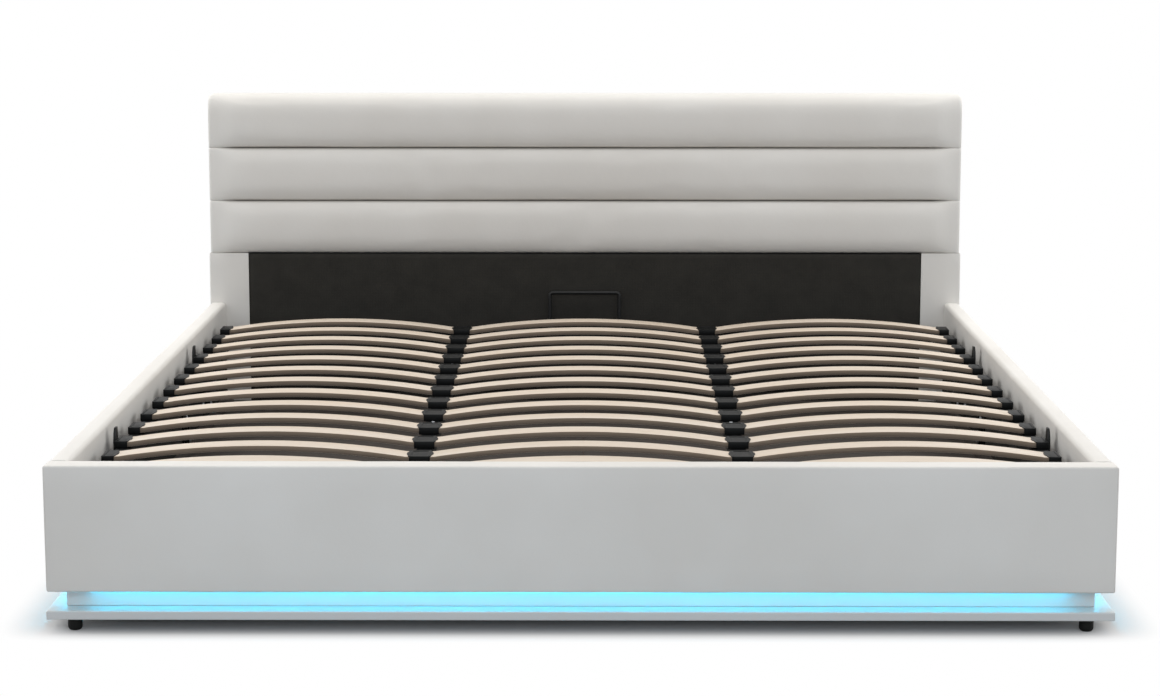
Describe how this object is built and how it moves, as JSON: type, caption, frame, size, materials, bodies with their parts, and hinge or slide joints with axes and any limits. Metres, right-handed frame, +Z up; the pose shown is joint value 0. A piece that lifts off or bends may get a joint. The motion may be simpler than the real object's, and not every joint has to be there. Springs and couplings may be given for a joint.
{
  "type": "storage bed",
  "caption": "Upholstered storage bed with a channelled headboard, a lit recessed plinth and a sprung slatted platform that lifts at its foot end.",
  "frame": {"origin": "on the floor under the middle of the bed's bounding box", "axes": "+X to the right as seen from the foot end, +Y from the foot end towards the headboard, +Z up"},
  "size_m": [1.9, 2.15, 0.8325],
  "materials": {
    "white_leather": "soft satin",
    "black_fabric": "matt non-woven",
    "white_board": "white laminate",
    "beech": "clear satin on the slats; their caps are black plastic",
    "black_plastic": "matt",
    "grey_panel": "grey laminate",
    "pine": "sawn",
    "black_steel": "satin black powder coat",
    "bright_rod": "polished",
    "led_strip": "lit cyan"
  },
  "bodies": {
    "base": {"base_board_front": "white_board", "base_board_left": "white_board", "base_board_right": "white_board", "centre_beam": "pine", "floor_panel_left": "grey_panel", "floor_panel_right": "grey_panel", "foot_centre_front": "black_plastic", "foot_centre_rear": "black_plastic", "foot_front_left": "black_plastic", "foot_front_right": "black_plastic", "foot_rear_left": "black_plastic", "foot_rear_right": "black_plastic", "footboard": "white_leather", "headboard_board": "white_leather", "headboard_fabric": "black_fabric", "headboard_pad": "white_leather", "led_strip": "led_strip", "lift_plate_left": "black_steel", "lift_plate_right": "black_steel", "plinth_front": "white_board", "plinth_left": "white_board", "plinth_right": "white_board", "rest_cleat_left": "pine", "rest_cleat_right": "pine", "side_rail_left": "white_leather", "side_rail_right": "white_leather"},
    "main_links": {"main_link_left": "black_steel", "main_link_right": "black_steel"},
    "platform": {"frame_foot_tube": "black_steel", "frame_head_tube": "black_steel", "frame_inner_tube_left": "black_steel", "frame_inner_tube_right": "black_steel", "frame_side_tube_left": "black_steel", "frame_side_tube_right": "black_steel", "lift_bracket_left": "black_steel", "lift_bracket_right": "black_steel", "mattress_hook_foot_left": "black_steel", "mattress_hook_foot_right": "black_steel", "mattress_hook_head_left": "black_steel", "mattress_hook_head_right": "black_steel", "slat_row_01": "beech", "slat_row_02": "beech", "slat_row_03": "beech", "slat_row_04": "beech", "slat_row_05": "beech", "slat_row_06": "beech", "slat_row_07": "beech", "slat_row_08": "beech", "slat_row_09": "beech", "slat_row_10": "beech", "slat_row_11": "beech", "slat_row_12": "beech", "slat_row_13": "beech", "stop_bar": "black_steel"},
    "second_links": {"second_link_left": "black_steel", "second_link_right": "black_steel"},
    "strut_cylinders": {"strut_cylinder_left": "black_steel", "strut_cylinder_right": "black_steel"},
    "strut_rods": {"strut_rod_left": "bright_rod", "strut_rod_right": "bright_rod"}
  },
  "joints": [
    {"name": "platform_lift", "type": "hinge", "parent": "base", "child": "main_links", "pos_m": [0, 0.586, 0.1175], "axis": [1, 0, 0], "range_deg": [0, 54.45]},
    {"name": "platform_tilt", "type": "hinge", "parent": "main_links", "child": "platform", "pos_m": [0, 0.782, 0.2125], "axis": [-1, 0, 0], "range_deg": [0, 90.5]},
    {"name": "second_link_swing", "type": "hinge", "parent": "base", "child": "second_links", "pos_m": [0, 0.255, 0.0955], "axis": [1, 0, 0], "range_deg": [0, 37.15]},
    {"name": "strut_swing", "type": "hinge", "parent": "base", "child": "strut_cylinders", "pos_m": [0, 0.57, 0.1455], "axis": [1, 0, 0], "range_deg": [0, 2.25]},
    {"name": "strut_stroke", "type": "slide", "parent": "strut_cylinders", "child": "strut_rods", "axis": [0, -0.9724, 0.2334], "range_m": [0, 0.0775]}
  ],
  "couplings": [
    {"joint": "platform_tilt", "follows": "platform_lift", "ratio": 1.6612},
    {"joint": "second_link_swing", "follows": "platform_lift", "ratio": 0.68136},
    {"joint": "strut_swing", "follows": "platform_lift", "ratio": 0.040404},
    {"joint": "strut_stroke", "follows": "platform_lift", "m_per_rad": 0.081235}
  ]
}
